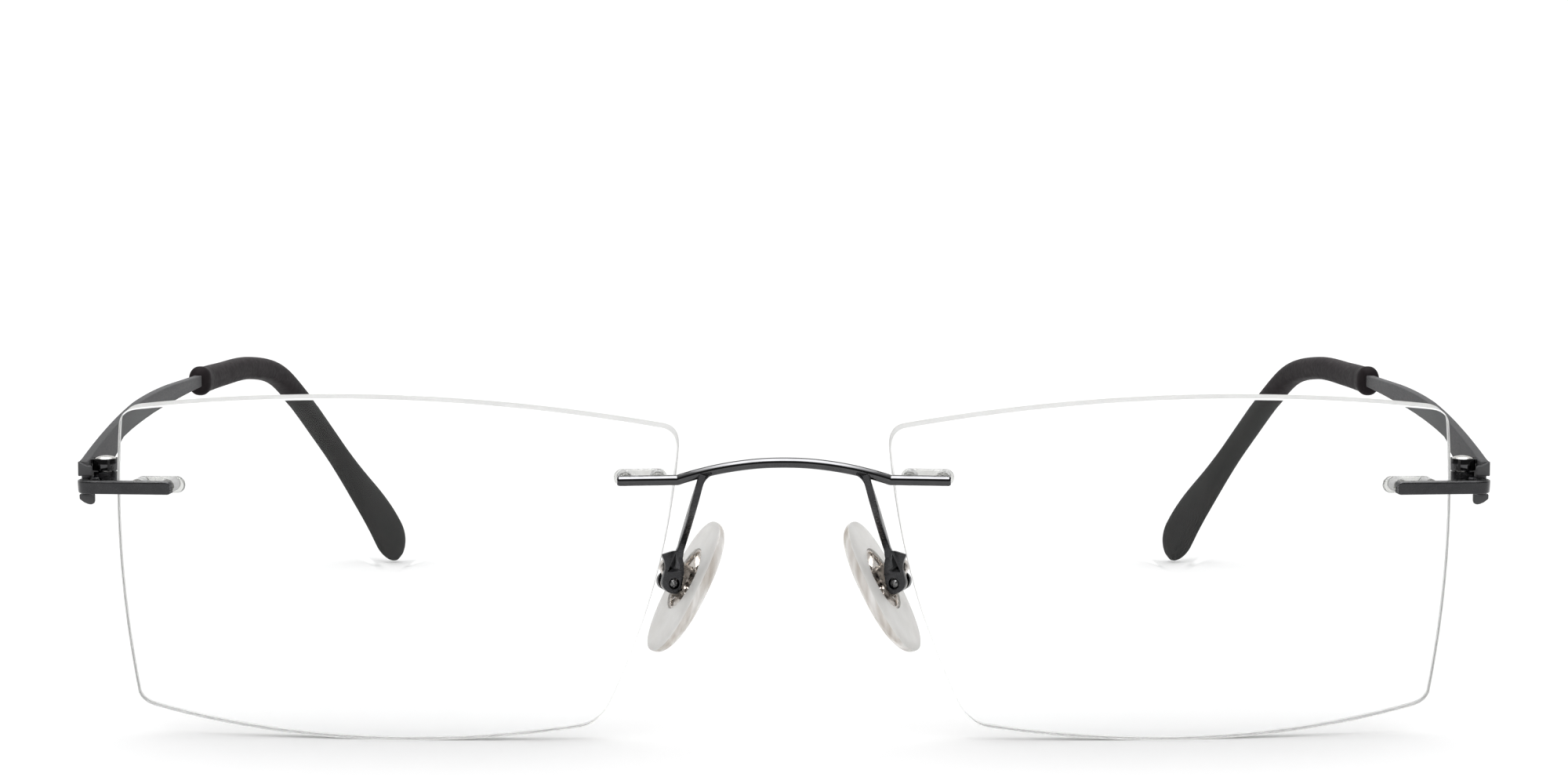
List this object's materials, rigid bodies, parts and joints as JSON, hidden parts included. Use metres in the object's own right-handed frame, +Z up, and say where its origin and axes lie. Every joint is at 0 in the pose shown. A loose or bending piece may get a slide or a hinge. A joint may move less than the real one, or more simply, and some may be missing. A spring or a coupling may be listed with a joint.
{
  "type": "rimless eyeglasses",
  "caption": "Rimless eyeglasses with rectangular clear lenses, metal bridge and endpieces, silicone nose pads and folding temples with dark sleeve tips.",
  "frame": {"origin": "middle of the footprint on the floor, below the middle of the space between the temples, with the glasses standing open on their lens bottoms and temple tips", "axes": "+X towards the wearer's left, +Y back along the temples so the lenses face -Y, +Z up"},
  "size_m": [0.1362, 0.1388, 0.0335],
  "materials": {
    "lens": "clear polished faces with a ground edge",
    "plug": "clear moulded",
    "silicone": "clear soft silicone",
    "gloss_metal": "polished gunmetal plating",
    "satin_metal": "satin gunmetal plating",
    "temple_metal": "satin gunmetal plating",
    "steel": "bright stainless steel",
    "tip": "soft-touch moulded sleeve"
  },
  "bodies": {
    "front": {"bridge": "gloss_metal", "lens_right": "lens", "lens_left": "lens", "temporal_plug_right": "plug", "temporal_plug_left": "plug", "nasal_plug_right": "plug", "nasal_plug_left": "plug", "pad_arm_right": "satin_metal", "pad_arm_left": "satin_metal", "pad_screw_right": "steel", "pad_screw_left": "steel", "endpiece_right": "satin_metal", "endpiece_left": "satin_metal"},
    "right_temple": {"temple_right": "temple_metal", "temple_tip_right": "tip", "hinge_screw_right": "steel"},
    "left_temple": {"temple_left": "temple_metal", "temple_tip_left": "tip", "hinge_screw_left": "steel"},
    "right_pad": {"nose_pad_right": "silicone", "pad_insert_right": "steel"},
    "left_pad": {"nose_pad_left": "silicone", "pad_insert_left": "steel"}
  },
  "joints": [
    {"name": "right_temple_fold", "type": "hinge", "parent": "front", "child": "right_temple", "pos_m": [-0.0653, -0.05926, 0.0245], "axis": [0, 0, -1], "range_deg": [0, 83]},
    {"name": "left_temple_fold", "type": "hinge", "parent": "front", "child": "left_temple", "pos_m": [0.0653, -0.05926, 0.0245], "axis": [0, 0, 1], "range_deg": [0, 72]},
    {"name": "right_pad_rock", "type": "hinge", "parent": "front", "child": "right_pad", "pos_m": [-0.01095, -0.06091, 0.01488], "axis": [0.4342, -0.9006, -0.0204], "range_deg": [-10, 10]},
    {"name": "left_pad_rock", "type": "hinge", "parent": "front", "child": "left_pad", "pos_m": [0.01095, -0.06091, 0.01488], "axis": [-0.4342, -0.9006, -0.0204], "range_deg": [-10, 10]}
  ]
}
